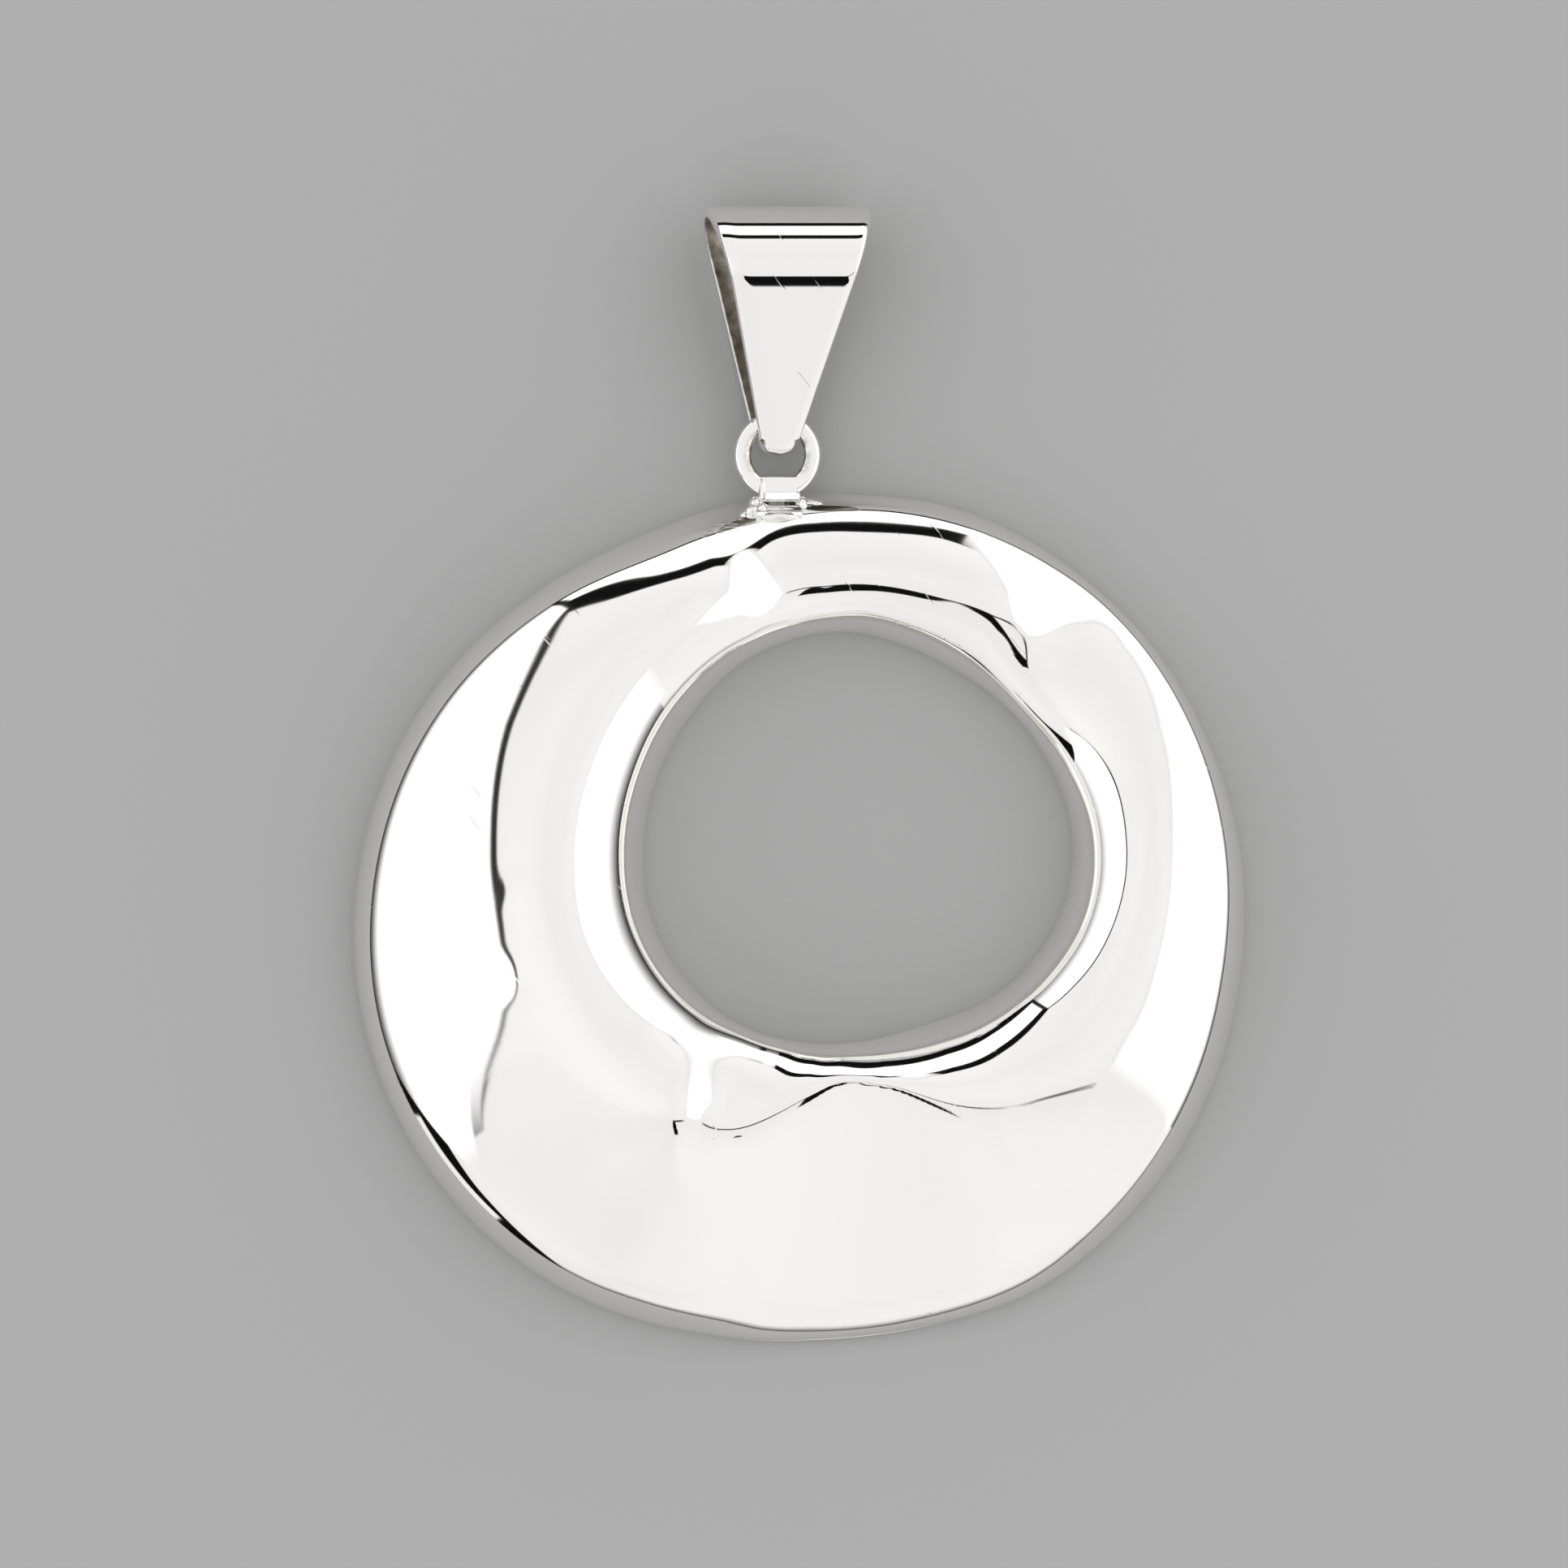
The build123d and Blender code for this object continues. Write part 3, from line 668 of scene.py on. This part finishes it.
class PENDANT_OT_bail(bpy.types.Operator):
    """Make the folded strip that the chain runs through"""

    bl_idname = "pendant.bail"
    bl_label = "Bail"

    def execute(self, context):
        scene = context.scene
        sizes, hanger = scene.pendant_bail, scene.pendant_hanger
        ring = ring_place(scene)
        wire_y = ring.y + (hanger.bore + hanger.wire) / 2
        tip_x, tip_y = ring.x + sizes.tip_east, wire_y - sizes.tip_drop
        nose_radius = hanger.wire / 2 + sizes.clearance + sizes.thickness
        nose = np.array([tip_y + nose_radius, hanger.height])
        fold = np.array([tip_y + sizes.length - sizes.fold_radius, sizes.fold_radius])
        loop = bail_loop(sizes, nose, nose_radius, fold)
        cross = strip_section(sizes.thickness)
        places = np.zeros((len(loop), len(cross), 3))
        for j, (centre, radius, angle) in enumerate(loop):
            along = (centre + radius * unit(angle))[0] - tip_y
            half = strip_half_width(along, sizes)
            for k, (side, inset, depth) in enumerate(cross):
                x = side * (half - inset) if abs(side) == 1 else side * (half - STRIP_CORNER)
                zone = sizes.worn_left if side < 0 else sizes.worn_right
                worn = sizes.worn * max(1 - (half - abs(x)) / zone, 0) ** 2
                y, z = centre + (radius - depth - worn) * unit(angle)
                x += tip_x + sizes.skew * (z - hanger.height) + math.tan(sizes.lean) * along
                places[j, k] = x, y, z
        mesh = wrapped_skin(len(loop), len(cross), places)
        piece = finish_piece(mesh, "folded_bail", bpy.data.materials["polished sterling"])
        piece.data.materials.append(tarnished_sterling(scene.pendant_look))
        for face in piece.data.polygons:
            y, z, normal = face.center.y - fold[0], face.center.z, face.normal
            if y < 0:   # a leg, whose inner face looks at the other leg
                inner = abs(normal.z) > 0.9 and normal.z * (nose[1] - z) > 0
            else:       # the fold, whose inner face looks at its middle
                inner = abs(normal.x) < 0.5 and normal.y * y + normal.z * (z - fold[1]) < 0
            face.material_index = int(inner)
        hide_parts("bail")
        return {"FINISHED"}


def studio_light(scene, look):
    """Soft boxes as a sky of bright cards with dark gaps between them. The camera sees plain grey."""
    world = bpy.data.worlds.new("soft boxes")
    scene.world = world
    world.use_nodes = True
    tree = world.node_tree
    tree.nodes.clear()
    ray = add(tree, "ShaderNodeTexCoord").outputs["Generated"]
    height = add(tree, "ShaderNodeSeparateXYZ", Vector=ray).outputs["Z"]
    light = look.dark
    for name, brightness, fade, planes in SOFT_BOXES:
        mask = add(tree, "ShaderNodeMapRange", {"interpolation_type": "SMOOTHSTEP"}, _0=height, _1=HORIZON,
                   _2=fade).outputs[0]
        for plane in planes:
            normal = Vector(plane[:3]).normalized()
            soft = plane[3] if len(plane) == 4 else look.penumbra
            side = add(tree, "ShaderNodeVectorMath", {"operation": "DOT_PRODUCT"}, _0=ray, _1=normal)
            edge = add(tree, "ShaderNodeMapRange", {"interpolation_type": "SMOOTHSTEP"}, _0=side.outputs["Value"],
                       _1=-soft / 2, _2=soft / 2)
            mask = add(tree, "ShaderNodeMath", {"operation": "MINIMUM"}, _0=mask, _1=edge.outputs[0]).outputs[0]
        card = add(tree, "ShaderNodeMath", {"operation": "MULTIPLY", "label": name}, _0=mask, _1=brightness)
        light = add(tree, "ShaderNodeMath", {"operation": "MAXIMUM"}, _0=light, _1=card.outputs[0]).outputs[0]
    cloud = add(tree, "ShaderNodeTexNoise", Vector=ray, Scale=look.cloud_size, Detail=1.0)
    uneven = add(tree, "ShaderNodeMapRange", Value=cloud.outputs["Fac"], _1=0.3, _2=0.7, _3=1.0 - look.cloud,
                 _4=1.0 + look.cloud)
    light = add(tree, "ShaderNodeMath", {"operation": "MULTIPLY"}, _0=light, _1=uneven.outputs[0]).outputs[0]
    under = add(tree, "ShaderNodeMapRange", {"interpolation_type": "SMOOTHSTEP"}, _0=height, _1=-0.9, _2=-0.1,
                _3=look.under, _4=0.0)
    light = add(tree, "ShaderNodeMath", {"operation": "ADD"}, _0=light, _1=under.outputs[0]).outputs[0]
    lamps = add(tree, "ShaderNodeBackground", Color=(1.0, 1.0, 1.0, 1.0), Strength=light)
    plain = add(tree, "ShaderNodeBackground", Color=linear(look.backdrop), Strength=1.0)
    seen = add(tree, "ShaderNodeLightPath").outputs["Is Camera Ray"]
    mix = add(tree, "ShaderNodeMixShader", _0=seen, _1=lamps.outputs[0], _2=plain.outputs[0])
    add(tree, "ShaderNodeOutputWorld", Surface=mix.outputs[0])


class PENDANT_OT_stage(bpy.types.Operator):
    """Lay the floor, hang the soft boxes and set the camera straight above"""

    bl_idname = "pendant.stage"
    bl_label = "Studio"

    def execute(self, context):
        scene = context.scene
        look = scene.pendant_look
        mesh = bmesh.new()
        just_below = Matrix.Translation((0, 0, -FLOOR_DROP))
        bmesh.ops.create_grid(mesh, x_segments=1, y_segments=1, size=FLOOR_SIZE, matrix=just_below)
        data = bpy.data.meshes.new("floor")
        mesh.to_mesh(data)
        mesh.free()
        floor = bpy.data.objects.new("floor", data)
        scene.collection.objects.link(floor)
        data.materials.append(matt_paper(look))
        studio_light(scene, look)
        camera = bpy.data.objects.new("camera", bpy.data.cameras.new("camera"))
        camera.data.sensor_width = SENSOR_WIDTH
        camera.data.lens = SENSOR_WIDTH * CAMERA_HEIGHT / PHOTO_WIDTH
        camera.data.clip_start, camera.data.clip_end = 0.1, 10.0
        camera.location = PHOTO_MIDDLE + Vector((0, 0, CAMERA_HEIGHT))
        scene.collection.objects.link(camera)
        scene.camera = camera
        scene.view_settings.view_transform = "Standard"
        return {"FINISHED"}


class PENDANT_PT_pieces(bpy.types.Panel):
    """Lists the pieces and their sizes"""

    bl_idname = "PENDANT_PT_pieces"
    bl_label = "Pendant"
    bl_space_type = "VIEW_3D"
    bl_region_type = "UI"
    bl_category = "Pendant"

    def draw(self, context):
        for operator, group in PIECES:
            box = self.layout.box()
            box.operator(operator)
            sizes = getattr(context.scene, group)
            for name in sizes.__annotations__:
                box.prop(sizes, name)


PIECES = [
    ("pendant.circle", "pendant_circle"),
    ("pendant.hanger", "pendant_hanger"),
    ("pendant.bail", "pendant_bail"),
    ("pendant.stage", "pendant_look"),
]
GROUPS = {
    "pendant_circle": PENDANT_PG_circle,
    "pendant_hanger": PENDANT_PG_hanger,
    "pendant_bail": PENDANT_PG_bail,
    "pendant_look": PENDANT_PG_look,
}
CLASSES = [*GROUPS.values(), PENDANT_OT_circle, PENDANT_OT_hanger, PENDANT_OT_bail, PENDANT_OT_stage,
           PENDANT_PT_pieces]


def register():
    for item in CLASSES:
        bpy.utils.register_class(item)
    for name, group in GROUPS.items():
        setattr(bpy.types.Scene, name, PointerProperty(type=group))


def unregister():
    for name in GROUPS:
        delattr(bpy.types.Scene, name)
    for item in reversed(CLASSES):
        bpy.utils.unregister_class(item)


def main():
    register()
    bpy.ops.pendant.circle()
    bpy.ops.pendant.hanger()
    bpy.ops.pendant.bail()
    bpy.ops.pendant.stage()


if __name__ == "__main__":
    main()
